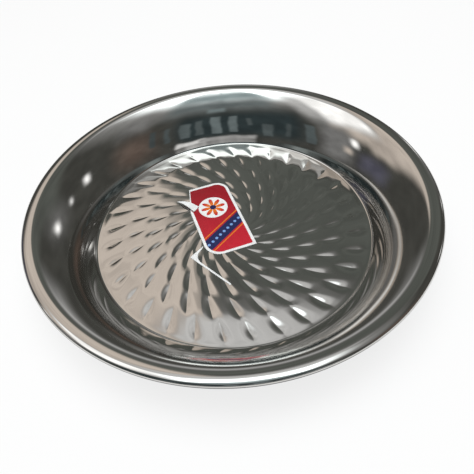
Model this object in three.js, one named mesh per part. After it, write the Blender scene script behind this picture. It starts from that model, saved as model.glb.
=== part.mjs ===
// Deep round serving plate, pressed from one disc of polished stainless steel sheet.
// It stands on its flat base, which is embossed with a swirl of leaves. At the edge of the base
// the sheet turns up at a tight corner, and the wall flares out from there to a rolled rim.
// A printed paper label with a torn edge, and an offcut of its paper, are stuck to the base.
// Millimetres, +Z up. The plate stands on z = 0 with its axis on the Z axis.
import * as THREE from 'three';
import { mergeGeometries, mergeVertices } from 'three/addons/utils/BufferGeometryUtils.js';

// Sheet and section of the plate
const SHEET = 0.6;
const BASE_RADIUS = 99.8;
const CORNER_RADIUS = 2;
const WALL_SLOPE = THREE.MathUtils.degToRad(69);
const FLARE_RADIUS = 69.5;
const RIM_SLOPE = THREE.MathUtils.degToRad(28);
const CURL_RADIUS = 4.1;
const CURL_END_SLOPE = THREE.MathUtils.degToRad(-250);

// Embossed swirl: rows of leaves, longest at the edge of the base
const LEAF_HEIGHT = 0.45;
const EDGE_MARGIN = 0.8;
const OUTER_ROW_LENGTH = 18.2;
const ROW_SHRINK = 0.893;
const ROW_GAP = 0.9;
const CENTRE_RADIUS = 8.0;
const LEAF_PITCH_AT_CENTRE = 8.3;
const LEAF_PITCH_GROWTH = 0.1;
const LEAF_GAP = 1.2;
const STEEP_SHARE = 0.3;
const LEAF_SHOULDER = 0.4;
const LEAN_AT_CENTRE = THREE.MathUtils.degToRad(46);
const LEAN_AT_EDGE = THREE.MathUtils.degToRad(14);

// Paper label, its torn strip and the offcut
const PAPER = 0.25;
const SEAT_GAP = 0.3;
const LABEL_LENGTH = 73.5;
const LABEL_WIDTH = 35.8;
const LABEL_X = -11.2;
const LABEL_Y = 10.1;
const LABEL_TURN = THREE.MathUtils.degToRad(15.5);
const LABEL_TOP_CORNER = 10;
const LABEL_BOTTOM_CORNER = 12;
const TEAR_LENGTH = 26;
const TEAR_DEPTH = 6;
const STRIP_LENGTH = 18.5;
const STRIP_WIDTH = 6.4;
const STRIP_TURN = THREE.MathUtils.degToRad(129);
const STRIP_INSET = 5.2;
const OFFCUT_X = -31.9;
const OFFCUT_Y = -27.9;
const OFFCUT_TURN = THREE.MathUtils.degToRad(-45.3);
const OFFCUT_LONG_ARM = 37.8;
const OFFCUT_SHORT_ARM = 11.4;
const OFFCUT_ARM_WIDTH = 1.5;
const OFFCUT_CORNER = 8;

// Facets
const TURN_SEGMENTS = 72;
const CORNER_STEPS = 4;
const FLARE_STEPS = 8;
const CURL_STEPS = 10;
const PAPER_CURVE_STEPS = 6;
const WELD = 1e-4;

// Section of the sheet

// A station is a point of the sheet's upper face in section, with the slope of the face there.
// Bends the section on from a station to a new slope, on an arc of the given radius.
function bend(from, radius, toSlope, steps) {
  const side = Math.sign(toSlope - from.slope);
  const stations = [];
  for (let i = 1; i <= steps; i += 1) {
    const slope = THREE.MathUtils.lerp(from.slope, toSlope, i / steps);
    stations.push({
      r: from.r + side * radius * (Math.sin(slope) - Math.sin(from.slope)),
      z: from.z + side * radius * (Math.cos(from.slope) - Math.cos(slope)),
      slope,
    });
  }
  return stations;
}

// From the edge of the base: the corner, the flare, and the rim rolled over and under.
function upperFace() {
  const start = { r: BASE_RADIUS, z: SHEET, slope: 0 };
  const corner = bend(start, CORNER_RADIUS, WALL_SLOPE, CORNER_STEPS);
  const flare = bend(corner.at(-1), FLARE_RADIUS, RIM_SLOPE, FLARE_STEPS);
  const curl = bend(flare.at(-1), CURL_RADIUS, CURL_END_SLOPE, CURL_STEPS);
  return [start, ...corner, ...flare, ...curl];
}

// The wall and rim: the upper face going out and the lower face, one sheet away, coming back.
function wallGeometry() {
  const stations = upperFace();
  const upper = stations.map(({ r, z }) => new THREE.Vector2(r, z));
  const lower = stations.map(({ r, z, slope }) => (
    new THREE.Vector2(r + SHEET * Math.sin(slope), z - SHEET * Math.cos(slope))
  ));
  const section = [...upper, ...lower.reverse()].reverse();
  return bare(new THREE.LatheGeometry(section, TURN_SEGMENTS).rotateX(Math.PI / 2));
}

// Embossed base

// Rows of leaves from the edge of the base inward, each shorter than the one outside it.
function leafRows() {
  const rows = [];
  let outer = BASE_RADIUS - EDGE_MARGIN;
  let length = OUTER_ROW_LENGTH;
  while (outer - length > CENTRE_RADIUS) {
    const middle = outer - length / 2;
    const pitch = LEAF_PITCH_AT_CENTRE + LEAF_PITCH_GROWTH * middle;
    const count = Math.round(2 * Math.PI * middle / pitch);
    rows.push({ middle, half: (length - ROW_GAP) / 2, count, shift: (rows.length % 2) / 2 });
    outer -= length;
    length *= ROW_SHRINK;
  }
  return rows;
}

// One leaf of a row. Its axis leans off the radius as a spiral does, and its crest lies on
// the axis, between a wide gentle flank and a narrow steep one. Seen from above, the outline
// runs counterclockwise from the inner tip.
function leaf(row, index) {
  const width = 2 * Math.PI * row.middle / row.count - LEAF_GAP;
  const steep = STEEP_SHARE * width;
  const gentle = width - steep;
  const lean = THREE.MathUtils.lerp(LEAN_AT_CENTRE, LEAN_AT_EDGE, row.middle / BASE_RADIUS);
  const start = (index + row.shift) * 2 * Math.PI / row.count;
  const point = (along, across) => {
    const r = row.middle + along * row.half;
    const angle = start + Math.tan(lean) * Math.log(r / row.middle) + across / row.middle;
    return new THREE.Vector2(r * Math.cos(angle), r * Math.sin(angle));
  };
  return {
    outline: [
      point(-1, 0),
      point(-LEAF_SHOULDER, -gentle),
      point(LEAF_SHOULDER, -gentle),
      point(1, 0),
      point(LEAF_SHOULDER, steep),
      point(-LEAF_SHOULDER, steep),
    ],
    crest: [point(-LEAF_SHOULDER, 0), point(LEAF_SHOULDER, 0)],
  };
}

// Faces of one leaf, raised from a level. Points 0 to 5 are the outline, 6 and 7 the crest.
const LEAF_FACES = [0, 1, 6, 1, 2, 7, 1, 7, 6, 2, 3, 7, 3, 4, 7, 4, 5, 6, 4, 6, 7, 5, 0, 6];

function leafGeometry({ outline, crest }, level) {
  const points = [
    ...outline.map((p) => new THREE.Vector3(p.x, p.y, level)),
    ...crest.map((p) => new THREE.Vector3(p.x, p.y, level + LEAF_HEIGHT)),
  ];
  return new THREE.BufferGeometry().setFromPoints(points).setIndex(LEAF_FACES);
}

// One face of the base at a level: the flat web between the leaves, and the raised leaves.
function baseFace(edge, leaves, level) {
  const web = new THREE.Shape(edge);
  web.holes = leaves.map(({ outline }) => new THREE.Path(outline));
  const flat = bare(new THREE.ShapeGeometry(web).translate(0, 0, level));
  return mergeGeometries([flat, ...leaves.map((one) => leafGeometry(one, level))]);
}

// Corners of the wall's inner edge, which the base shares.
function baseEdge(wall) {
  const position = wall.getAttribute('position');
  const corners = [];
  const perTurn = position.count / (TURN_SEGMENTS + 1);
  for (let i = 0; i < TURN_SEGMENTS; i += 1) {
    corners.push(new THREE.Vector2(position.getX(i * perTurn), position.getY(i * perTurn)));
  }
  return corners;
}

// Keeps only the positions, so that faces from different shapes can share corners.
function bare(geometry) {
  geometry.deleteAttribute('normal');
  geometry.deleteAttribute('uv');
  return geometry;
}

// Turns every face over.
function flipped(geometry) {
  geometry.setIndex(Array.from(geometry.getIndex().array).reverse());
  return geometry;
}

function plateGeometry() {
  const wall = wallGeometry();
  const edge = baseEdge(wall);
  const leaves = leafRows().flatMap((row) => (
    Array.from({ length: row.count }, (_, index) => leaf(row, index))
  ));
  const top = baseFace(edge, leaves, SHEET);
  const underside = flipped(baseFace(edge, leaves, 0));
  const plate = mergeVertices(mergeGeometries([wall, top, underside]), WELD);
  plate.computeVertexNormals();
  return plate;
}

// Label and its scraps

function sheetOfPaper(outline) {
  return new THREE.ExtrudeGeometry(outline, {
    depth: PAPER,
    bevelEnabled: false,
    curveSegments: PAPER_CURVE_STEPS,
  });
}

// Two opposite corners are rounded, one is square, and a long tear takes off the fourth.
function labelOutline() {
  const x = LABEL_WIDTH / 2;
  const y = LABEL_LENGTH / 2;
  const quarter = Math.PI / 2;
  const outline = new THREE.Shape();
  outline.moveTo(x, -y);
  outline.lineTo(x, y - LABEL_TOP_CORNER);
  outline.absarc(x - LABEL_TOP_CORNER, y - LABEL_TOP_CORNER, LABEL_TOP_CORNER, 0, quarter);
  outline.lineTo(TEAR_DEPTH - x, y);
  outline.lineTo(-x, y - TEAR_LENGTH);
  outline.lineTo(-x, LABEL_BOTTOM_CORNER - y);
  outline.absarc(
    LABEL_BOTTOM_CORNER - x,
    LABEL_BOTTOM_CORNER - y,
    LABEL_BOTTOM_CORNER,
    2 * quarter,
    3 * quarter,
  );
  outline.closePath();
  return outline;
}

// A pointed strip, with its blunt end at the origin and its tip on the X axis.
function stripOutline() {
  return new THREE.Shape([
    new THREE.Vector2(0, -STRIP_WIDTH / 2),
    new THREE.Vector2(STRIP_LENGTH / 2, -STRIP_WIDTH / 3),
    new THREE.Vector2(STRIP_LENGTH, 0),
    new THREE.Vector2(STRIP_LENGTH / 2, STRIP_WIDTH / 3),
    new THREE.Vector2(0, STRIP_WIDTH / 2),
  ]);
}

// The square corner that is left outside a rounded one: two thin arms and a hollow fillet.
function offcutOutline() {
  const inside = OFFCUT_ARM_WIDTH + OFFCUT_CORNER;
  const outline = new THREE.Shape();
  outline.moveTo(0, 0);
  outline.lineTo(OFFCUT_LONG_ARM, 0);
  outline.lineTo(OFFCUT_LONG_ARM, OFFCUT_ARM_WIDTH);
  outline.lineTo(inside, OFFCUT_ARM_WIDTH);
  outline.absarc(inside, inside, OFFCUT_CORNER, -Math.PI / 2, -Math.PI, true);
  outline.lineTo(0, inside + OFFCUT_SHORT_ARM - OFFCUT_CORNER);
  outline.closePath();
  return outline;
}

// Assembly

function piece(name, geometry, colour, roughness, metalness) {
  const mesh = new THREE.Mesh(
    geometry,
    new THREE.MeshStandardMaterial({ color: colour, roughness, metalness }),
  );
  mesh.name = name;
  return mesh;
}

const plateBody = piece('plate_body', plateGeometry(), '#c6c5c0', 0.12, 1);

// The paper lies on the crests of the leaves.
const paperSeat = SHEET + LEAF_HEIGHT + SEAT_GAP;

const label = piece('label', sheetOfPaper(labelOutline()), '#b3202c', 0.5, 0);

const tornStrip = piece('label_torn_strip', sheetOfPaper(stripOutline()), '#eef0ec', 0.7, 0);
tornStrip.position.set(
  STRIP_INSET - LABEL_WIDTH / 2,
  LABEL_LENGTH / 2 - TEAR_LENGTH + STRIP_WIDTH / 3,
  PAPER + SEAT_GAP,
);
tornStrip.rotation.z = STRIP_TURN;

const stuckLabel = new THREE.Group();
stuckLabel.add(label, tornStrip);
stuckLabel.position.set(LABEL_X, LABEL_Y, paperSeat);
stuckLabel.rotation.z = LABEL_TURN;

const offcut = piece('label_offcut', sheetOfPaper(offcutOutline()), '#eef0ec', 0.7, 0);
offcut.position.set(OFFCUT_X, OFFCUT_Y, paperSeat);
offcut.rotation.z = OFFCUT_TURN;

const servingPlate = new THREE.Group();
servingPlate.add(plateBody, stuckLabel, offcut);

export default servingPlate;
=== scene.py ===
import math

import bpy
import numpy as np
from mathutils import Matrix, Vector


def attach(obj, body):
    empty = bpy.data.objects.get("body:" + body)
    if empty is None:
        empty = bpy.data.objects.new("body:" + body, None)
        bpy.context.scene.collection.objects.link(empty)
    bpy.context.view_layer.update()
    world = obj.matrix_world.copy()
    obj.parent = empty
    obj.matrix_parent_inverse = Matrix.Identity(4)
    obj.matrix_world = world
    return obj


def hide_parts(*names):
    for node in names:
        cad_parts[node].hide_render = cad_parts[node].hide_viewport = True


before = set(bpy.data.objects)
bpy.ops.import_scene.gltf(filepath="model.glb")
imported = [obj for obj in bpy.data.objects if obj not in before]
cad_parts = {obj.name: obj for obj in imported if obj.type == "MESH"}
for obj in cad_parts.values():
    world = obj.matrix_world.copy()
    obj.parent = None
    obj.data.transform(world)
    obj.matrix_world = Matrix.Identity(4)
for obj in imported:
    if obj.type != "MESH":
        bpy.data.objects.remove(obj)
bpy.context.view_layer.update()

# Plate body: one disc of stainless steel sheet, pressed between dies and mirror polished.
# At the edge of the embossed base the sheet turns up at a tight corner, the wall flares out
# from there like a trumpet's bell, rounds over into a lip, and its edge is curled under.
SHEET = 0.0006
BASE_RADIUS = 0.0998
CORNER_RADIUS = 0.002
WALL_SLOPE = math.radians(69)
FLARE_RADIUS = 0.0687
RIM_SLOPE = math.radians(32.3)
LIP_RADIUS = 0.0117
LIP_SLOPE = math.radians(-15)
CURL_RADIUS = 0.0021
CURL_END_SLOPE = math.radians(-250)
CORNER_STATIONS = 8
FLARE_STATIONS = 16
LIP_STATIONS = 8
CURL_STATIONS = 12


def bend(start, radius, to_slope, stations):
    """An arc of the section: from a point and its slope on to a new slope, at one radius."""
    r, z, slope = start
    s = np.linspace(slope, to_slope, stations + 1)[1:]
    side = np.sign(to_slope - slope)
    return np.stack([
        r + side * radius * (np.sin(s) - math.sin(slope)),
        z + side * radius * (math.cos(slope) - np.cos(s)),
        s,
    ], axis=1)


base_edge = np.array([[BASE_RADIUS, SHEET, 0.0]])
corner = bend(base_edge[0], CORNER_RADIUS, WALL_SLOPE, CORNER_STATIONS)
flare = bend(corner[-1], FLARE_RADIUS, RIM_SLOPE, FLARE_STATIONS)
lip = bend(flare[-1], LIP_RADIUS, LIP_SLOPE, LIP_STATIONS)
curl = bend(lip[-1], CURL_RADIUS, CURL_END_SLOPE, CURL_STATIONS)
upper_face = np.concatenate([base_edge, corner, flare, lip, curl])

# Swirl of the base: rings of leaf-shaped creases that the die presses through the sheet. Towards
# the centre they are shorter and lean more, and the outer ring slopes down to the edge.
LEAF_HEIGHT = 0.0015
EDGE_SLOPE = math.tan(math.radians(3.8))
EDGE_SLOPE_RADIUS = 0.0786
EDGE_SLOPE_EASE = 0.001
EDGE_MARGIN = 0.0008
OUTER_ROW_LENGTH = 0.0182
ROW_SHRINK = 0.893
ROW_OVERLAP = 1.05
CENTRE_RADIUS = 0.008
LEAF_PITCH_AT_CENTRE = 0.0083
LEAF_PITCH_GROWTH = 0.1
CREASE_DEPTH = 0.035
CREASE_SKEW = 0.4
CREASE_CLEAR = 0.009
GENTLE_SHARE = 0.6
GENTLE_SHARE_MIDDLE = 0.65
GENTLE_SHARE_GROWTH = 0.35
STEEP_SHARE = 0.38
LEAN_AT_CENTRE = math.radians(46)
LEAN_AT_EDGE = math.radians(14)
TURN_SAMPLES = 400


def leaf_rows():
    """Rows from the edge inwards: middle radius, half length, leaf count, shift and lean."""
    rows = []
    outer = BASE_RADIUS - EDGE_MARGIN
    length = OUTER_ROW_LENGTH
    while outer - length > CENTRE_RADIUS:
        middle = outer - length / 2
        count = round(math.tau * middle / (LEAF_PITCH_AT_CENTRE + LEAF_PITCH_GROWTH * middle))
        share = middle / BASE_RADIUS
        lean = LEAN_AT_CENTRE + share * (LEAN_AT_EDGE - LEAN_AT_CENTRE)
        rows.append((middle, length / 2, count, len(rows) % 2 / 2, math.tan(lean)))
        outer -= length
        length *= ROW_SHRINK
    return rows


def leaf_relief(r, angle):
    """Height of the swirl: a level field that slopes down evenly beyond a radius, less a crease
    along one side of each leaf. From the crease the leaf rises over a gentle share of the pitch
    that grows outwards, and the leaf before it falls over a steep one. The crease fades to both
    ends, later at the outer one, and towards the edge, where a smooth step ends the field."""
    field = np.clip((BASE_RADIUS - r) / EDGE_MARGIN, 0, 1)
    step = (3 - 2 * field) * field ** 2
    clear = np.clip((BASE_RADIUS - r) / CREASE_CLEAR, 0, 1)
    past_bend = (r - EDGE_SLOPE_RADIUS) / EDGE_SLOPE_EASE
    fall = EDGE_SLOPE * EDGE_SLOPE_EASE * np.logaddexp(0, past_bend)
    crease = np.zeros(np.broadcast(r, angle).shape)
    for middle, half, count, shift, lean in leaf_rows():
        along = np.clip((r - middle) / (half * ROW_OVERLAP), -1, 1)
        spin = angle - lean * np.log(np.maximum(r, CENTRE_RADIUS) / middle)
        across = np.mod(spin * count / math.tau - shift, 1)
        gentle_share = GENTLE_SHARE * (GENTLE_SHARE_MIDDLE + GENTLE_SHARE_GROWTH * along)
        gentle = np.maximum(1 - across / gentle_share, 0) ** 2
        steep = np.maximum(1 - (1 - across) / STEEP_SHARE, 0) ** 2
        pitch = math.tau * middle / count
        depth = CREASE_DEPTH * pitch * (1 - along ** 2) * (1 + CREASE_SKEW * along)
        crease += depth * np.maximum(gentle, steep)
    return np.maximum(LEAF_HEIGHT - fall - crease * clear, 0) * step


def swirl_turn(r):
    """Angle of the grid's spiral at a radius: the lean's tangent, summed along the radius."""
    samples = np.linspace(CENTRE_RADIUS, BASE_RADIUS, TURN_SAMPLES)
    lean = LEAN_AT_CENTRE + samples / BASE_RADIUS * (LEAN_AT_EDGE - LEAN_AT_CENTRE)
    turn = np.concatenate([[0], np.cumsum(np.tan(lean[1:]) * np.diff(np.log(samples)))])
    return np.interp(r, samples, turn - turn[-1])


FINE_TURN = 1000
WALL_TURN = FINE_TURN // 2
BASE_RINGS = 44
UNDER_RINGS = 22
POLE_RING_RADIUS = CENTRE_RADIUS / 4


def turned(r, z, angle):
    """Points of a turned surface: every section point carried round to every angle."""
    return np.stack(np.broadcast_arrays(r * np.cos(angle), r * np.sin(angle), z), axis=-1)


def base_sheet(rings, columns, level):
    """One face of the base, from a small ring at its centre to its edge: a polar grid sheared
    along the swirl, at the level plus the relief."""
    r = np.linspace(POLE_RING_RADIUS, BASE_RADIUS, rings)[:, None]
    angle = np.arange(columns) * math.tau / columns + swirl_turn(r)
    return turned(r, level + leaf_relief(r, angle), angle)


def band(inner, outer):
    """Quads between two closed rings of point numbers, facing up where outer is wider."""
    inner_next = np.roll(inner, -1, axis=-1)
    outer_next = np.roll(outer, -1, axis=-1)
    return np.stack([inner, outer, outer_next, inner_next], axis=-1)


def stitch(fine, coarse):
    """Triangles from a fine ring out to one with half as many points."""
    near, far = fine[0::2], np.roll(fine[0::2], -1)
    middle, after = fine[1::2], np.roll(coarse, -1)
    return np.concatenate([
        np.stack([near, coarse, middle], axis=-1),
        np.stack([middle, coarse, after], axis=-1),
        np.stack([middle, after, far], axis=-1),
    ])


def new_piece(name, points, faces):
    """A smooth mesh object at the origin, from an array of points and lists of faces."""
    mesh = bpy.data.meshes.new(name)
    mesh.from_pydata(points.reshape(-1, 3).tolist(), [], faces)
    mesh.shade_smooth()
    piece = bpy.data.objects.new(name, mesh)
    bpy.context.scene.collection.objects.link(piece)
    return piece


wall_angle = np.arange(WALL_TURN) * math.tau / WALL_TURN
lower_face = upper_face[::-1] + np.stack([
    SHEET * np.sin(upper_face[::-1, 2]),
    -SHEET * np.cos(upper_face[::-1, 2]),
    np.zeros(len(upper_face)),
], axis=1)
wall_section = np.concatenate([upper_face[1:], lower_face])
base_top = base_sheet(BASE_RINGS, FINE_TURN, SHEET)
wall = turned(wall_section[:, :1], wall_section[:, 1:2], wall_angle)
base_under = base_sheet(UNDER_RINGS, WALL_TURN, 0)[-2::-1]
poles = np.array([[0, 0, SHEET], [0, 0, 0]])

top_rings = np.arange(base_top.size // 3).reshape(BASE_RINGS, FINE_TURN)
wall_rings = top_rings.size + np.arange(wall.size // 3).reshape(-1, WALL_TURN)
under_start = top_rings.size + wall_rings.size
under_rings = under_start + np.arange(base_under.size // 3).reshape(-1, WALL_TURN)
outer_rings = np.concatenate([wall_rings, under_rings])
top_pole = top_rings.size + outer_rings.size
under_pole = top_pole + 1
top_cap = top_rings[0]
under_cap = outer_rings[-1]
plate_faces = band(top_rings[:-1], top_rings[1:]).reshape(-1, 4).tolist()
plate_faces += stitch(top_rings[-1], wall_rings[0]).tolist()
plate_faces += band(outer_rings[:-1], outer_rings[1:]).reshape(-1, 4).tolist()
plate_faces += np.stack([
    np.full(top_cap.size, top_pole), top_cap, np.roll(top_cap, -1),
], axis=1).tolist()
plate_faces += np.stack([
    np.full(under_cap.size, under_pole), np.roll(under_cap, -1), under_cap,
], axis=1).tolist()
plate_sheets = (base_top, wall, base_under, poles)
plate_points = np.concatenate([sheet.reshape(-1, 3) for sheet in plate_sheets])
plate = new_piece("plate_shell", plate_points, plate_faces)
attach(plate, "root")
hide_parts("plate_body")

# Polish of the steel: nearly a mirror inside, with faint waves left by the press, fine lines
# round the wall from the polishing wheel and a haze of handling. The outside is left duller and
# rougher, with its colour darkened as a painted dark reflection, and the outer rings of the curl
# are painted nearly black, a painted reflection of a dark surface below the rim.
STEEL_COLOUR = (0.62, 0.61, 0.59, 1)
DULL_PAINTED_DARK_COLOUR = (0.36, 0.36, 0.35, 1)
PAINTED_DARK_REFLECTION_COLOUR = (0.05, 0.05, 0.052, 1)
POLISHED_ROUGHNESS = 0.045
HAZE_ROUGHNESS = 0.1
DULL_ROUGHNESS = 0.3
WAVE_SIZE = 0.03
WAVE_DETAIL = 1
WAVE_HEIGHT = 0.00006
POLISH_LINE_PITCH = 0.0004
POLISH_LINE_DETAIL = 2
POLISH_LINE_HEIGHT = 0.0000012
HAZE_SIZE = 0.05
HAZE_DETAIL = 5
HAZE_FROM = 0.35
HAZE_TO = 0.75
PAINTED_DARK_REFLECTION_STATIONS = 9


def store(piece, name, values):
    """A value for each point of a piece, kept on its mesh for the material."""
    piece.data.attributes.new(name, "FLOAT", "POINT").data.foreach_set("value", values)


def attribute(tree, name):
    """A value that is stored on the mesh."""
    node = tree.nodes.new("ShaderNodeAttribute")
    node.attribute_name = name
    return node.outputs["Fac"]


def calculator(tree):
    """A function that adds one Math node to a tree, fed with numbers or sockets."""
    def calculate(operation, *values):
        node = tree.nodes.new("ShaderNodeMath")
        node.operation = operation
        for socket, value in zip(node.inputs, values):
            if isinstance(value, (int, float)):
                socket.default_value = value
            else:
                tree.links.new(value, socket)
        return node.outputs[0]
    return calculate


def distance_of(calculate, x, y):
    """Distance of a place from the origin of two axes: the root of the sum of the squares."""
    squares = calculate("ADD", calculate("POWER", x, 2.0), calculate("POWER", y, 2.0))
    return calculate("SQRT", squares)


def noise(tree, vector, size, detail):
    """A noise from 0 to 1 whose blots are about one size across."""
    node = tree.nodes.new("ShaderNodeTexNoise")
    node.inputs["Scale"].default_value = 1 / size
    node.inputs["Detail"].default_value = detail
    tree.links.new(vector, node.inputs["Vector"])
    return node.outputs["Fac"]


def blend(tree, factor, first, second):
    """The first colour turning into the second as the factor goes from 0 to 1."""
    node = tree.nodes.new("ShaderNodeMix")
    node.data_type = "RGBA"
    for name, value in (("Factor", factor), ("A", first), ("B", second)):
        if isinstance(value, tuple):
            node.inputs[name].default_value = value
        else:
            tree.links.new(value, node.inputs[name])
    return node.outputs["Result"]


def ramp(tree, value, low, high, to_low, to_high):
    """A value carried smoothly from one range to another and held outside it."""
    node = tree.nodes.new("ShaderNodeMapRange")
    node.interpolation_type = "SMOOTHSTEP"
    limits = {"From Min": low, "From Max": high, "To Min": to_low, "To Max": to_high}
    for name, limit in limits.items():
        node.inputs[name].default_value = limit
    tree.links.new(value, node.inputs["Value"])
    return node.outputs["Result"]


def bump(tree, height, distance, normal=None):
    """A bump of a height map, in metres, laid over another normal."""
    node = tree.nodes.new("ShaderNodeBump")
    node.inputs["Distance"].default_value = distance
    tree.links.new(height, node.inputs["Height"])
    if normal:
        tree.links.new(normal, node.inputs["Normal"])
    return node.outputs["Normal"]


curl_end = len(upper_face) - 1
curl_rings = wall_rings[curl_end - PAINTED_DARK_REFLECTION_STATIONS:curl_end]
outside = np.zeros(len(plate_points))
outside[wall_rings[curl_end:].ravel()] = 1
outside[curl_rings.ravel()] = 1
outside[under_rings.ravel()] = 1
outside[under_pole] = 1
# Painted dark reflection: the curl's outer rings are marked to be painted nearly black.
painted_dark_reflection = np.zeros(len(plate_points))
painted_dark_reflection[curl_rings.ravel()] = 1
store(plate, "outside", outside)
store(plate, "painted_dark_reflection", painted_dark_reflection)

steel = bpy.data.materials.new("polished_steel")
steel.use_nodes = True
tree = steel.node_tree
calculate = calculator(tree)
place = tree.nodes.new("ShaderNodeTexCoord").outputs["Object"]
axes = tree.nodes.new("ShaderNodeSeparateXYZ")
tree.links.new(place, axes.inputs[0])
radius = distance_of(calculate, axes.outputs["X"], axes.outputs["Y"])
rounds = tree.nodes.new("ShaderNodeCombineXYZ")
tree.links.new(radius, rounds.inputs["X"])
tree.links.new(axes.outputs["Z"], rounds.inputs["Y"])
# The outside is rougher, and its colour is darkened as a painted dark reflection.
dull_and_painted_dark = attribute(tree, "outside")
haze = noise(tree, place, HAZE_SIZE, HAZE_DETAIL)
lines = noise(tree, rounds.outputs[0], POLISH_LINE_PITCH, POLISH_LINE_DETAIL)
on_wall = ramp(tree, radius, BASE_RADIUS, BASE_RADIUS + CORNER_RADIUS, 0, 1)
polish_lines = bump(tree, calculate("MULTIPLY", lines, on_wall), POLISH_LINE_HEIGHT)
normal = bump(tree, noise(tree, place, WAVE_SIZE, WAVE_DETAIL), WAVE_HEIGHT, polish_lines)
polished = ramp(tree, haze, HAZE_FROM, HAZE_TO, POLISHED_ROUGHNESS, HAZE_ROUGHNESS)
roughness = calculate("ADD", polished, calculate("MULTIPLY", dull_and_painted_dark, DULL_ROUGHNESS))
# Painted dark reflection: the outside's steel colour is darkened.
metal_colour = blend(tree, dull_and_painted_dark, STEEL_COLOUR, DULL_PAINTED_DARK_COLOUR)
# Painted dark reflection: the curl's outer rings turn nearly black over the steel colour.
metal_colour = blend(tree, attribute(tree, "painted_dark_reflection"), metal_colour, PAINTED_DARK_REFLECTION_COLOUR)
shader = tree.nodes["Principled BSDF"]
shader.inputs["Metallic"].default_value = 1
tree.links.new(metal_colour, shader.inputs["Base Color"])
tree.links.new(roughness, shader.inputs["Roughness"])
tree.links.new(normal, shader.inputs["Normal"])
plate.data.materials.append(steel)

# Label: a glossy printed paper sticker, pressed onto the crests of the leaves so that it
# follows them a little. Two corners are rounded, and its upper left side is torn off.
PAPER = 0.00014
LABEL_LENGTH = 0.0735
LABEL_WIDTH = 0.0358
LABEL_PLACE = (-0.0112, 0.0101)
LABEL_TURN = math.radians(15.5)
LABEL_TOP_CORNER = 0.010
LABEL_BOTTOM_CORNER = 0.012
TEAR_LENGTH = 0.026
TEAR_DEPTH = 0.006
TEAR_RAGGEDNESS = 0.0003
TEAR_WAVES = 75
TEAR_RIPPLES = 174
TEAR_RIPPLE_SHARE = 0.7
PAPER_SAG = 0.25
PLAN_MIDDLE = 0.5
SEAT = SHEET + LEAF_HEIGHT


def corner_cut(gap, radius):
    """How far a rounded corner cuts in at a distance from the end of the sheet: a quarter arc."""
    inside = np.clip(radius - gap, 0, radius)
    return radius - np.sqrt(radius ** 2 - inside ** 2)


def label_plan(across, along):
    """The label in its own plane, 0 to 1 across and along: each cross line runs from the left
    edge, with its tear and its rounded corner, to the right edge, with its rounded corner."""
    y = (along - PLAN_MIDDLE) * LABEL_LENGTH
    torn = np.clip((y - LABEL_LENGTH / 2 + TEAR_LENGTH) / TEAR_LENGTH, 0, 1)
    ragged = np.sin(TEAR_WAVES * torn) + TEAR_RIPPLE_SHARE * np.sin(TEAR_RIPPLES * torn)
    tear = TEAR_DEPTH * torn + TEAR_RAGGEDNESS * ragged * np.sin(math.pi * torn)
    left = -LABEL_WIDTH / 2 + tear + corner_cut(y + LABEL_LENGTH / 2, LABEL_BOTTOM_CORNER)
    right = LABEL_WIDTH / 2 - corner_cut(LABEL_LENGTH / 2 - y, LABEL_TOP_CORNER)
    return np.stack(np.broadcast_arrays(left + across * (right - left), y), axis=-1)


def on_base(plan, place, turn):
    """A plan turned about its origin, set at its place, and laid on the leaves: it keeps most of
    the level of their crests and sags a share of the way into the hollows."""
    x = place[0] + plan[..., 0] * math.cos(turn) - plan[..., 1] * math.sin(turn)
    y = place[1] + plan[..., 0] * math.sin(turn) + plan[..., 1] * math.cos(turn)
    relief = leaf_relief(np.hypot(x, y), np.arctan2(y, x))
    return np.stack([x, y, SEAT - PAPER_SAG * (LEAF_HEIGHT - relief)], axis=-1)


def paper_piece(name, under, plan):
    """A closed sheet of paper from the grid of its lower face: the same grid one paper higher,
    and a rim of quads between their borders. Its UV map is its plan in label lengths, with the
    plan's origin in the middle."""
    rows, columns = under.shape[:2]
    upper = under + np.array([0, 0, PAPER])
    low = np.arange(rows * columns).reshape(rows, columns)
    high = low + rows * columns

    def cells(grid):
        return np.stack([grid[:-1, :-1], grid[:-1, 1:], grid[1:, 1:], grid[1:, :-1]], axis=-1)

    def border(grid):
        return np.concatenate([grid[0, :-1], grid[:-1, -1], grid[-1, :0:-1], grid[:0:-1, 0]])

    faces = np.concatenate([
        cells(high).reshape(-1, 4),
        cells(low)[..., ::-1].reshape(-1, 4),
        band(border(high), border(low)),
    ])
    points = np.concatenate([under.reshape(-1, 3), upper.reshape(-1, 3)])
    piece = new_piece(name, points, faces.tolist())
    uv = piece.data.uv_layers.new(name="plan")
    flat = np.concatenate([plan.reshape(-1, 2)] * 2) / LABEL_LENGTH + PLAN_MIDDLE
    uv.data.foreach_set("uv", flat[faces.reshape(-1)].reshape(-1))
    return piece


LABEL_COLUMNS = 61
LABEL_ROWS = 121
label_across = np.linspace(0, 1, LABEL_COLUMNS)[None, :]
label_along = np.linspace(0, 1, LABEL_ROWS)[:, None]
label_flat = label_plan(label_across, label_along)
label = paper_piece("printed_label", on_base(label_flat, LABEL_PLACE, LABEL_TURN), label_flat)
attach(label, "root")
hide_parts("label")

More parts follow.
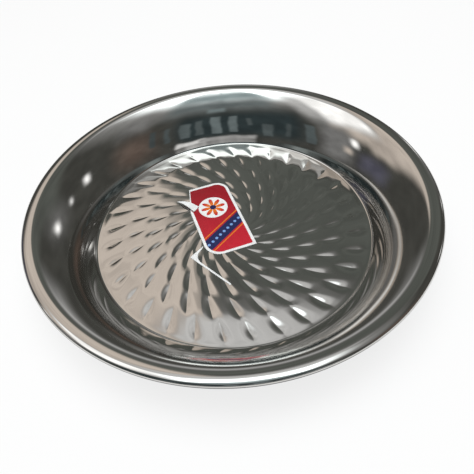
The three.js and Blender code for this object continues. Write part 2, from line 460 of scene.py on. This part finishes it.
# Print of the label: a plain pattern on a red ground inside a white border. A dark blue sash
# with orange lines and pale dots crosses it, and a rosette stands on a white disc above.
BORDER = 0.0021
TORN_EDGE = 0.0006
RED = (0.52, 0.012, 0.028, 1)
DEEP_RED = (0.27, 0.004, 0.012, 1)
NAVY = (0.012, 0.016, 0.085, 1)
ORANGE = (0.75, 0.19, 0.012, 1)
PALE_BLUE = (0.2, 0.38, 0.72, 1)
PAPER_WHITE = (0.84, 0.85, 0.85, 1)
INK_ROUGHNESS = 0.32
TORN_ROUGHNESS = 0.7
LABEL_CREASE_HEIGHT = 0.0002
FIBRE_SIZE = 0.008
FIBRE_DETAIL = 4
FIBRE_HEIGHT = 0.12
PAPER_CREASE_SIZE = 0.11
PAPER_CREASE_DETAIL = 2
CREASE_SHADE = 0.93
NOISE_LOW = 0.3
NOISE_MIDDLE = 0.5
NOISE_HIGH = 0.7


def paper_group():
    """Paper's fibres and slight creases, by two noises whose sizes are in label lengths: a value
    to shade a colour by, and a height for a bump."""
    group = bpy.data.node_groups.new("paper_fibre", "ShaderNodeTree")
    group.interface.new_socket("Plan", in_out="INPUT", socket_type="NodeSocketVector")
    group.interface.new_socket("Shade", in_out="OUTPUT", socket_type="NodeSocketFloat")
    group.interface.new_socket("Height", in_out="OUTPUT", socket_type="NodeSocketFloat")
    given = group.nodes.new("NodeGroupInput")
    result = group.nodes.new("NodeGroupOutput")
    calculate = calculator(group)
    fibre = noise(group, given.outputs["Plan"], FIBRE_SIZE, FIBRE_DETAIL)
    crease = noise(group, given.outputs["Plan"], PAPER_CREASE_SIZE, PAPER_CREASE_DETAIL)
    shade = ramp(group, crease, NOISE_LOW, NOISE_HIGH, CREASE_SHADE, 1)
    height = calculate("ADD", crease, calculate("MULTIPLY", fibre, FIBRE_HEIGHT))
    group.links.new(shade, result.inputs["Shade"])
    group.links.new(height, result.inputs["Height"])
    return group


def plan_of(tree):
    """The UV map of a paper piece: its plan, in label lengths."""
    node = tree.nodes.new("ShaderNodeUVMap")
    node.uv_map = "plan"
    return node.outputs["UV"]


def place_group(tree, group, plan):
    """The paper group placed in a material."""
    node = tree.nodes.new("ShaderNodeGroup")
    node.node_tree = group
    tree.links.new(plan, node.inputs["Plan"])
    return node.outputs


def scaled(tree, colour, factor):
    """A colour made lighter or darker by a factor."""
    node = tree.nodes.new("ShaderNodeVectorMath")
    node.operation = "SCALE"
    if isinstance(colour, tuple):
        node.inputs[0].default_value = colour[:3]
    else:
        tree.links.new(colour, node.inputs[0])
    tree.links.new(factor, node.inputs["Scale"])
    return node.outputs[0]


def gap_to(points, line):
    """Distance of each point to the nearest of the points along a line."""
    return np.linalg.norm(points[:, None, :] - line[None, :, :], axis=-1).min(axis=1)


EDGE_SAMPLES = 400
fine = np.linspace(0, 1, EDGE_SAMPLES)[:, None]
left_edge = label_plan(0, fine).reshape(-1, 2)
right_edge = label_plan(1, fine).reshape(-1, 2)
ends = np.concatenate([label_plan(fine, end).reshape(-1, 2) for end in (0, 1)])
tear_foot = LABEL_LENGTH / 2 - TEAR_LENGTH
whole_edge = np.concatenate([left_edge[left_edge[:, 1] < tear_foot], right_edge, ends])
torn_edge = left_edge[left_edge[:, 1] > tear_foot]
label_points = np.concatenate([label_flat.reshape(-1, 2)] * 2)
store(label, "edge_gap", gap_to(label_points, whole_edge))
store(label, "tear_gap", gap_to(label_points, torn_edge))

fibre_group = paper_group()
label_ink = bpy.data.materials.new("label_ink")
label_ink.use_nodes = True
tree = label_ink.node_tree
calculate = calculator(tree)
plan = plan_of(tree)
axes = tree.nodes.new("ShaderNodeSeparateXYZ")
tree.links.new(plan, axes.inputs[0])
print_x, print_y = (
    calculate("MULTIPLY", calculate("SUBTRACT", axes.outputs[axis], PLAN_MIDDLE), LABEL_LENGTH)
    for axis in ("X", "Y")
)
PRINT_EDGE = 0.00012


def inside(distance):
    """A mask: 1 where a signed distance is negative, with an edge as soft as the print's."""
    return ramp(tree, distance, -PRINT_EDGE, PRINT_EDGE, 1, 0)


def stripe(offset, half_width):
    """Signed distance to a stripe about the line where the offset is zero."""
    return calculate("SUBTRACT", calculate("ABSOLUTE", offset), half_width)


def printed(below, distance, colour):
    """A colour printed over what is below it, where a signed distance is negative."""
    return blend(tree, inside(distance), below, colour)


SASH_SLOPE = math.radians(32)
SASH_FOOT = -0.0165
SASH_HALF = 0.0048
SASH_LINE_OFFSET = 0.0064
SASH_LINE_HALF = 0.00045
DOT_PITCH = 0.0042
DOT_RADIUS = 0.0011
above_foot = calculate("SUBTRACT", print_y, SASH_FOOT)
sash_across = calculate(
    "SUBTRACT",
    calculate("MULTIPLY", above_foot, math.cos(SASH_SLOPE)),
    calculate("MULTIPLY", print_x, math.sin(SASH_SLOPE)),
)
sash_along = calculate(
    "ADD",
    calculate("MULTIPLY", print_x, math.cos(SASH_SLOPE)),
    calculate("MULTIPLY", above_foot, math.sin(SASH_SLOPE)),
)
dot_step = calculate("WRAP", sash_along, DOT_PITCH / 2, -DOT_PITCH / 2)
dots = calculate("SUBTRACT", distance_of(calculate, dot_step, sash_across), DOT_RADIUS)
sash_lines = stripe(stripe(sash_across, SASH_LINE_OFFSET), SASH_LINE_HALF)

ROUNDEL_Y = 0.0105
ROUNDEL_RADIUS = 0.0112
ROSETTE_RADIUS = 0.0094
ROSETTE_PETALS = 8
ROSETTE_HEART = 0.0024
PETAL_FULLNESS = 0.7
roundel_y = calculate("SUBTRACT", print_y, ROUNDEL_Y)
roundel_r = distance_of(calculate, print_x, roundel_y)
petal_turn = calculate("MULTIPLY", calculate("ARCTAN2", roundel_y, print_x), ROSETTE_PETALS / 2)
petal_wave = calculate("ABSOLUTE", calculate("COSINE", petal_turn))
petal_reach = calculate("MULTIPLY", calculate("POWER", petal_wave, PETAL_FULLNESS), ROSETTE_RADIUS)

deepening = ramp(tree, print_y, -LABEL_LENGTH / 2, LABEL_LENGTH / 2, 0, 1)
print_colour = blend(tree, deepening, RED, DEEP_RED)
print_colour = printed(print_colour, stripe(sash_across, SASH_HALF), NAVY)
print_colour = printed(print_colour, sash_lines, ORANGE)
print_colour = printed(print_colour, dots, PALE_BLUE)
roundel = calculate("SUBTRACT", roundel_r, ROUNDEL_RADIUS)
print_colour = printed(print_colour, roundel, PAPER_WHITE)
reddening = ramp(tree, roundel_r, ROSETTE_HEART, ROSETTE_RADIUS, 0, 1)
petal_colour = blend(tree, reddening, ORANGE, RED)
petals = calculate("SUBTRACT", roundel_r, petal_reach)
print_colour = printed(print_colour, petals, petal_colour)
heart = calculate("SUBTRACT", roundel_r, ROSETTE_HEART)
print_colour = printed(print_colour, heart, NAVY)
white_border = calculate("SUBTRACT", attribute(tree, "edge_gap"), BORDER)
print_colour = printed(print_colour, white_border, PAPER_WHITE)
bare_edge = inside(calculate("SUBTRACT", attribute(tree, "tear_gap"), TORN_EDGE))
print_colour = blend(tree, bare_edge, print_colour, PAPER_WHITE)
paper_marks = place_group(tree, fibre_group, plan)
print_colour = scaled(tree, print_colour, paper_marks["Shade"])
roughness = ramp(tree, bare_edge, 0, 1, INK_ROUGHNESS, TORN_ROUGHNESS)
normal = bump(tree, paper_marks["Height"], LABEL_CREASE_HEIGHT)
shader = tree.nodes["Principled BSDF"]
tree.links.new(print_colour, shader.inputs["Base Color"])
tree.links.new(roughness, shader.inputs["Roughness"])
tree.links.new(normal, shader.inputs["Normal"])
label.data.materials.append(label_ink)

# Torn strip: the thin white paper that was peeled off the label's corner, still held at its
# root and curled back over the label's edge to a point.
STRIP_LENGTH = 0.0185
STRIP_WIDTH = 0.0064
STRIP_TURN = math.radians(129)
STRIP_INSET = 0.0052
STRIP_ROOT = (STRIP_INSET - LABEL_WIDTH / 2, LABEL_LENGTH / 2 - TEAR_LENGTH + STRIP_WIDTH / 3)
STRIP_TAPER = 0.75
STRIP_LIFT = 1.5 * PAPER
STRIP_RISE = 0.0021
STRIP_ARCH = 1.2
STRIP_CUP = 0.0006
STRIP_TIP = 0.985
STRIP_COLUMNS = 17
STRIP_ROWS = 31


def strip_plan(across, along):
    """The strip in its own plane: a long tapering tongue along X, blunt at its root."""
    half = STRIP_WIDTH / 2 * (1 - along) ** STRIP_TAPER
    return np.stack(np.broadcast_arrays(along * STRIP_LENGTH, (2 * across - 1) * half), axis=-1)


def strip_level(across, along):
    """Level of the strip: an arch from root to tip, with its long edges cupped upwards."""
    arch = STRIP_RISE * np.sin(math.pi * along) ** STRIP_ARCH
    cup = STRIP_CUP * (2 * across - 1) ** 2 * (1 - along)
    return SEAT + STRIP_LIFT + arch + cup


strip_across = np.linspace(1, 0, STRIP_COLUMNS)[None, :]
strip_along = np.linspace(0, STRIP_TIP, STRIP_ROWS)[:, None]
strip_flat = strip_plan(strip_across, strip_along)
strip_place = on_base(np.array(STRIP_ROOT), LABEL_PLACE, LABEL_TURN)
strip_under = on_base(strip_flat, strip_place, LABEL_TURN + STRIP_TURN)
strip_under[..., 2] = strip_level(strip_across, strip_along)
strip = paper_piece("torn_strip", strip_under, strip_flat)
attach(strip, "root")
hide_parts("label_torn_strip")

# Offcut: the white sliver of sticker backing that stays when a rounded corner is cut out of it,
# two thin arms and a hollow fillet between them, stuck to the base beside the label.
OFFCUT_PLACE = (-0.0319, -0.0279)
OFFCUT_TURN = math.radians(-45.3)
OFFCUT_LONG_ARM = 0.0378
OFFCUT_SHORT_ARM = 0.0114
OFFCUT_ARM_WIDTH = 0.0015
OFFCUT_SHORT_TIP = 0.3 * OFFCUT_ARM_WIDTH
OFFCUT_LONG_TIP = 0.8 * OFFCUT_ARM_WIDTH
OFFCUT_CORNER = 0.008
OFFCUT_CORNER_STOP = 0.3
OFFCUT_ARC_START = 0.12
OFFCUT_ARC_STOP = 0.48
OFFCUT_COLUMNS = 5
OFFCUT_ROWS = 80
ARC_POINTS = 13


def offcut_plan(across, along):
    """The sliver between two paths, both from the end of the short arm to the end of the long
    one: outside, the square corner; inside, the short arm, a quarter arc and the long arm."""
    inner_corner = OFFCUT_ARM_WIDTH + OFFCUT_CORNER
    short_end = inner_corner + OFFCUT_SHORT_ARM - OFFCUT_CORNER
    outer = np.array([[0, short_end], [0, 0], [OFFCUT_LONG_ARM, 0]])
    arc = np.linspace(math.pi, 1.5 * math.pi, ARC_POINTS)
    inner = np.concatenate([
        [[OFFCUT_SHORT_TIP, short_end]],
        inner_corner + OFFCUT_CORNER * np.stack([np.cos(arc), np.sin(arc)], axis=1),
        [[OFFCUT_LONG_ARM, OFFCUT_LONG_TIP]],
    ])
    arc_stops = np.linspace(OFFCUT_ARC_START, OFFCUT_ARC_STOP, ARC_POINTS)
    outer_stops = [0, OFFCUT_CORNER_STOP, 1]
    inner_stops = np.concatenate([[0], arc_stops, [1]])
    outer_x, outer_y = (np.interp(along, outer_stops, outer[:, axis]) for axis in (0, 1))
    inner_x, inner_y = (np.interp(along, inner_stops, inner[:, axis]) for axis in (0, 1))
    return np.stack([
        outer_x + across * (inner_x - outer_x),
        outer_y + across * (inner_y - outer_y),
    ], axis=-1)


offcut_across = np.linspace(1, 0, OFFCUT_COLUMNS)[None, :]
offcut_along = np.linspace(0, 1, OFFCUT_ROWS)[:, None]
offcut_flat = offcut_plan(offcut_across, offcut_along)
offcut = paper_piece("offcut_sliver", on_base(offcut_flat, OFFCUT_PLACE, OFFCUT_TURN), offcut_flat)
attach(offcut, "root")
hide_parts("label_offcut")

# Bare paper of the strip and the offcut: matt and white, with the fibres and creases that the
# label's paper has.
CREASED_ROUGHNESS = 0.6
MATT_ROUGHNESS = 0.75
PAPER_CREASE_HEIGHT = 0.0003
paper = bpy.data.materials.new("white_paper")
paper.use_nodes = True
tree = paper.node_tree
paper_marks = place_group(tree, fibre_group, plan_of(tree))
paper_colour = scaled(tree, PAPER_WHITE, paper_marks["Shade"])
roughness = ramp(tree, paper_marks["Shade"], CREASE_SHADE, 1, CREASED_ROUGHNESS, MATT_ROUGHNESS)
normal = bump(tree, paper_marks["Height"], PAPER_CREASE_HEIGHT)
shader = tree.nodes["Principled BSDF"]
tree.links.new(paper_colour, shader.inputs["Base Color"])
tree.links.new(roughness, shader.inputs["Roughness"])
tree.links.new(normal, shader.inputs["Normal"])
strip.data.materials.append(paper)
offcut.data.materials.append(paper)

# Floor: a plain sheet of matt white paper under the plate. To the eye and in the metal most of it
# glows, so that it is white, and the rest takes the plate's shadow. It isn't part of the plate.
FLOOR_HALF = 3.0
FLOOR_COLOUR = (0.9, 0.9, 0.9, 1)
FLOOR_GLOW = 0.8
floor = new_piece("studio_floor", np.array([
    [-FLOOR_HALF, -FLOOR_HALF, 0], [FLOOR_HALF, -FLOOR_HALF, 0],
    [FLOOR_HALF, FLOOR_HALF, 0], [-FLOOR_HALF, FLOOR_HALF, 0],
]), [(0, 1, 2, 3)])
floor_paper = bpy.data.materials.new("floor_paper")
floor_paper.use_nodes = True
tree = floor_paper.node_tree
calculate = calculator(tree)
shader = tree.nodes["Principled BSDF"]
shader.inputs["Base Color"].default_value = FLOOR_COLOUR
shader.inputs["Roughness"].default_value = 1
glow = tree.nodes.new("ShaderNodeEmission")
rays = tree.nodes.new("ShaderNodeLightPath").outputs
seen = calculate("MAXIMUM", rays["Is Camera Ray"], rays["Is Glossy Ray"])
seen = calculate("MAXIMUM", seen, rays["Is Transmission Ray"])
mix = tree.nodes.new("ShaderNodeMixShader")
tree.links.new(calculate("MULTIPLY", seen, FLOOR_GLOW), mix.inputs["Fac"])
tree.links.new(shader.outputs[0], mix.inputs[1])
tree.links.new(glow.outputs[0], mix.inputs[2])
tree.links.new(mix.outputs[0], tree.nodes["Material Output"].inputs["Surface"])
floor.data.materials.append(floor_paper)

# Light: a dim room with soft cards all round, as a studio sets them about polished metal. A card
# has a colour, a level, an azimuth from +Y towards +X, an elevation, half its width and height,
# and the softness of its edge, all angles in degrees. Later cards stand before earlier ones.
SURROUND_COLOUR = (0.076, 0.076, 0.069, 1)
WHITE = (1, 1, 1, 1)
COOL = (0.82, 1, 1.04, 1)
ICE = (0.93, 1, 1.02, 1)
BEIGE = (1.12, 0.99, 0.88, 1)
BROWN = (1.25, 0.95, 0.8, 1)
VIOLET = (0.9, 0.9, 1.2, 1)
TEAL = (0.72, 1, 1.08, 1)
OLIVE = (0.95, 1.02, 0.93, 1)
CARDS = (
    (WHITE, 0.7, 0, 90, 180, 24, 18),
    (ICE, 3.0, 0, 90, 180, 18, 7),
    (COOL, 0.52, 180, 77, 56, 8, 7),
    (COOL, 0.2, 178, 64, 50, 6, 10),
    (OLIVE, 0.13, 16, 42, 28, 12, 6),
    (WHITE, 0.75, -94, 62, 18, 12, 9),
    (WHITE, 0.72, -5, 68, 43, 6, 3.5),
    (BEIGE, 0.66, -30, 48, 21, 14, 4),
    (BEIGE, 0.6, -68, 43, 26, 5, 5),
    (WHITE, 1.65, -74, 60, 20, 12, 6),
    (BEIGE, 0.55, -54, 38, 10, 6, 4),
    (WHITE, 0.24, -92, 27, 12, 19, 7),
    (VIOLET, 0.13, -63, 19, 11, 8, 6),
    (BEIGE, 0.6, -84, 23, 3, 3, 2.5),
    (WHITE, 1.7, -78, 33, 2.5, 3, 2.5),
    (WHITE, 0.5, 2, 20, 10, 7, 7),
    (WHITE, 0.26, 104, 56, 14, 6, 9),
    (BROWN, 0.13, 108, 28, 14, 15, 12),
    (TEAL, 0.055, -168, 34, 50, 19, 10),
    (COOL, 0.17, 149, 33, 4, 10, 1.4),
    (COOL, 0.22, 174, 35, 4, 13, 1.2),
    (COOL, 0.23, -173, 34, 3, 12, 1.2),
    (COOL, 0.13, 160, 34, 3, 11, 1.2),
    (COOL, 0.14, -146, 25, 4, 9, 1.4),
    (COOL, 0.12, -160, 37, 2, 5, 1.2),
    (COOL, 0.1, 123, 34, 2.5, 10, 1.4),
    (COOL, 0.12, 135, 33, 2, 10, 1.2),
    (COOL, 0.1, -130, 28, 2, 9, 1.2),
    (COOL, 0.15, -113, 28, 4, 12, 1.4),
    (COOL, 0.3, 174, 57, 8, 2.5, 2.5),
    (WHITE, 1.0, 153, 13, 12, 3, 2),
    (WHITE, 0.45, -178, 13, 22, 3, 2),
    (WHITE, 0.22, 38, 22, 6, 7, 9),
    (WHITE, 2.4, 36, 19.5, 1.6, 3, 3),
    (WHITE, 1.9, 52, 24, 1.2, 2.2, 2.2),
    (WHITE, 2.2, 68, 29, 1.6, 3.2, 3),
)


def card_group():
    """A soft-edged card at an azimuth and elevation, laid over what is behind it."""
    group = bpy.data.node_groups.new("studio_card", "ShaderNodeTree")
    for name, kind in (
        ("Azimuth", "NodeSocketFloat"), ("Elevation", "NodeSocketFloat"),
        ("Behind", "NodeSocketColor"), ("Colour", "NodeSocketColor"), ("Level", "NodeSocketFloat"),
        ("Card azimuth", "NodeSocketFloat"), ("Card elevation", "NodeSocketFloat"),
        ("Half width", "NodeSocketFloat"), ("Half height", "NodeSocketFloat"),
        ("Soft edge", "NodeSocketFloat"),
    ):
        group.interface.new_socket(name, in_out="INPUT", socket_type=kind)
    group.interface.new_socket("Colour", in_out="OUTPUT", socket_type="NodeSocketColor")
    given = group.nodes.new("NodeGroupInput").outputs
    result = group.nodes.new("NodeGroupOutput")
    calculate = calculator(group)

    def within(offset, half):
        """A mask: 1 up to a half size on both sides, with the card's soft edge."""
        edge = calculate("SUBTRACT", half, calculate("ABSOLUTE", offset))
        share = group.nodes.new("ShaderNodeMapRange")
        share.interpolation_type = "SMOOTHSTEP"
        group.links.new(edge, share.inputs["Value"])
        group.links.new(calculate("MULTIPLY", given["Soft edge"], -1.0), share.inputs["From Min"])
        group.links.new(given["Soft edge"], share.inputs["From Max"])
        return share.outputs["Result"]

    turn = calculate("SUBTRACT", given["Azimuth"], given["Card azimuth"])
    turn = calculate("WRAP", turn, 180.0, -180.0)
    rise = calculate("SUBTRACT", given["Elevation"], given["Card elevation"])
    across = within(turn, given["Half width"])
    cover = calculate("MULTIPLY", across, within(rise, given["Half height"]))
    bright = scaled(group, given["Colour"], given["Level"])
    group.links.new(blend(group, cover, given["Behind"], bright), result.inputs["Colour"])
    return group


CARD_ANGLES = ("Card azimuth", "Card elevation", "Half width", "Half height", "Soft edge")
CARD_WAVE = 5
CARD_WAVE_SIZE = 0.24
CARD_WAVE_DETAIL = 1
CLUTTER_SIZE = 0.16
CLUTTER_DETAIL = 4
CLUTTER_LOW = 0.86
CLUTTER_HIGH = 1.16

world = bpy.data.worlds.new("studio")
world.use_nodes = True
tree = world.node_tree
calculate = calculator(tree)
look = tree.nodes.new("ShaderNodeTexCoord").outputs["Generated"]
direction = tree.nodes.new("ShaderNodeSeparateXYZ")
tree.links.new(look, direction.inputs[0])
waves = tree.nodes.new("ShaderNodeTexNoise")
waves.inputs["Scale"].default_value = 1 / CARD_WAVE_SIZE
waves.inputs["Detail"].default_value = CARD_WAVE_DETAIL
tree.links.new(look, waves.inputs["Vector"])
wave = tree.nodes.new("ShaderNodeSeparateXYZ")
tree.links.new(waves.outputs["Color"], wave.inputs[0])


def waved(angle, part):
    """An angle of the direction in degrees, shifted by the noise so that cards hang unevenly."""
    shift = calculate("SUBTRACT", wave.outputs[part], NOISE_MIDDLE)
    shift = calculate("MULTIPLY", shift, CARD_WAVE)
    return calculate("ADD", calculate("DEGREES", angle), shift)


azimuth = waved(calculate("ARCTAN2", direction.outputs["X"], direction.outputs["Y"]), "X")
elevation = waved(calculate("ARCSINE", direction.outputs["Z"]), "Y")
studio_card = card_group()
behind = None
for colour, level, *angles in CARDS:
    card = tree.nodes.new("ShaderNodeGroup")
    card.node_tree = studio_card
    tree.links.new(azimuth, card.inputs["Azimuth"])
    tree.links.new(elevation, card.inputs["Elevation"])
    card.inputs["Behind"].default_value = SURROUND_COLOUR
    if behind:
        tree.links.new(behind, card.inputs["Behind"])
    card.inputs["Colour"].default_value = colour
    card.inputs["Level"].default_value = level
    for name, angle in zip(CARD_ANGLES, angles):
        card.inputs[name].default_value = angle
    behind = card.outputs["Colour"]
blots = noise(tree, look, CLUTTER_SIZE, CLUTTER_DETAIL)
clutter = ramp(tree, blots, NOISE_LOW, NOISE_HIGH, CLUTTER_LOW, CLUTTER_HIGH)
tree.links.new(scaled(tree, behind, clutter), tree.nodes["Background"].inputs["Color"])
bpy.context.scene.world = world

# Lamp: a broad soft disc overhead, which lights paper and floor. It is kept out of reflections,
# so that the polished steel shows only the cards.
LAMP_SIZE = 1.2
LAMP_POWER = 11
LAMP_HEIGHT = 1.2
lamp = bpy.data.lights.new("overhead", "AREA")
lamp.shape = "DISK"
lamp.size = LAMP_SIZE
lamp.energy = LAMP_POWER
lamp_object = bpy.data.objects.new("overhead", lamp)
lamp_object.location = (0, 0, LAMP_HEIGHT)
lamp_object.visible_glossy = False
bpy.context.scene.collection.objects.link(lamp_object)

# Camera: at the photograph's place, height and tilt, aimed at the near half of the plate, with
# the lens that gives the photograph's frame.
CAMERA_PLACE = Vector((0, -0.2326, 0.2471))
CAMERA_AIM = Vector((0.00189, -0.04193, 0.0347))
CAMERA_ROLL = math.radians(-4.725)
SENSOR_WIDTH = 36
LENS = 34.525
CLIP_START = 0.01
camera = bpy.data.cameras.new("camera")
camera.sensor_width = SENSOR_WIDTH
camera.lens = LENS
camera.clip_start = CLIP_START
forward = (CAMERA_AIM - CAMERA_PLACE).normalized()
level_right = forward.cross(Vector((0, 0, 1))).normalized()
level_up = level_right.cross(forward)
right = level_right * math.cos(CAMERA_ROLL) + level_up * math.sin(CAMERA_ROLL)
up = level_up * math.cos(CAMERA_ROLL) - level_right * math.sin(CAMERA_ROLL)
camera_object = bpy.data.objects.new("camera", camera)
camera_object.matrix_world = Matrix((right, up, -forward)).transposed().to_4x4()
camera_object.location = CAMERA_PLACE
bpy.context.scene.collection.objects.link(camera_object)
bpy.context.scene.camera = camera_object

bpy.context.scene.view_settings.view_transform = "Standard"
